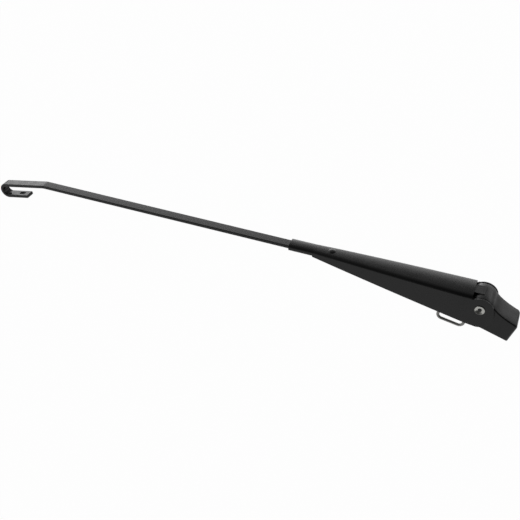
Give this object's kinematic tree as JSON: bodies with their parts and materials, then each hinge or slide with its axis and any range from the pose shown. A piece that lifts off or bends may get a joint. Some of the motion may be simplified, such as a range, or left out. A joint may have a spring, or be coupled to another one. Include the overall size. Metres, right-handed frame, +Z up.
{
  "type": "wiper arm",
  "caption": "Windscreen wiper arm: cast mounting head, hinged sheet-steel arm channel with tension spring and wire link, and a flat rod ending in a blade hook.",
  "frame": {"origin": "centre of the spindle bore's mouth, in the underside of the mounting head", "axes": "+Z up along the spindle away from the glass, +X from the spindle towards the blade hook, +Y to the side that the picture shows"},
  "size_m": [0.4742, 0.0246, 0.156],
  "materials": {
    "black_paint": "satin black paint",
    "black_casting": "satin black paint on a die casting",
    "bright_zinc": "bright zinc plate",
    "spring_steel": "oiled spring steel"
  },
  "bodies": {
    "head": {"mounting_head": "black_casting", "spindle_clip": "spring_steel", "link_pin": "bright_zinc"},
    "arm": {"hinge_pin": "bright_zinc", "arm_channel": "black_paint", "blade_rod": "black_paint", "rod_rivet": "black_paint"},
    "spring": {"tension_spring": "spring_steel"},
    "link": {"spring_link": "bright_zinc"}
  },
  "joints": [
    {"name": "arm_lift", "type": "hinge", "parent": "head", "child": "arm", "pos_m": [0.0195, 0, 0.017], "axis": [0, -1, 0], "range_deg": [0, 95], "stiffness_Nm_per_rad": 0.2, "springref_deg": -171.89},
    {"name": "link_swing", "type": "hinge", "parent": "head", "child": "link", "pos_m": [0.0201, 0, 0.0053], "axis": [0, -1, 0], "range_deg": [0, 91]},
    {"name": "spring_stretch", "type": "slide", "parent": "arm", "child": "spring", "axis": [-0.9889, 0, 0.1489], "range_m": [0, 0.0145], "deforming": ["tension_spring"]}
  ],
  "couplings": [
    {"joint": "link_swing", "follows": "arm_lift", "ratio": 0.9555},
    {"joint": "spring_stretch", "follows": "arm_lift", "m_per_rad": 0.00865}
  ]
}
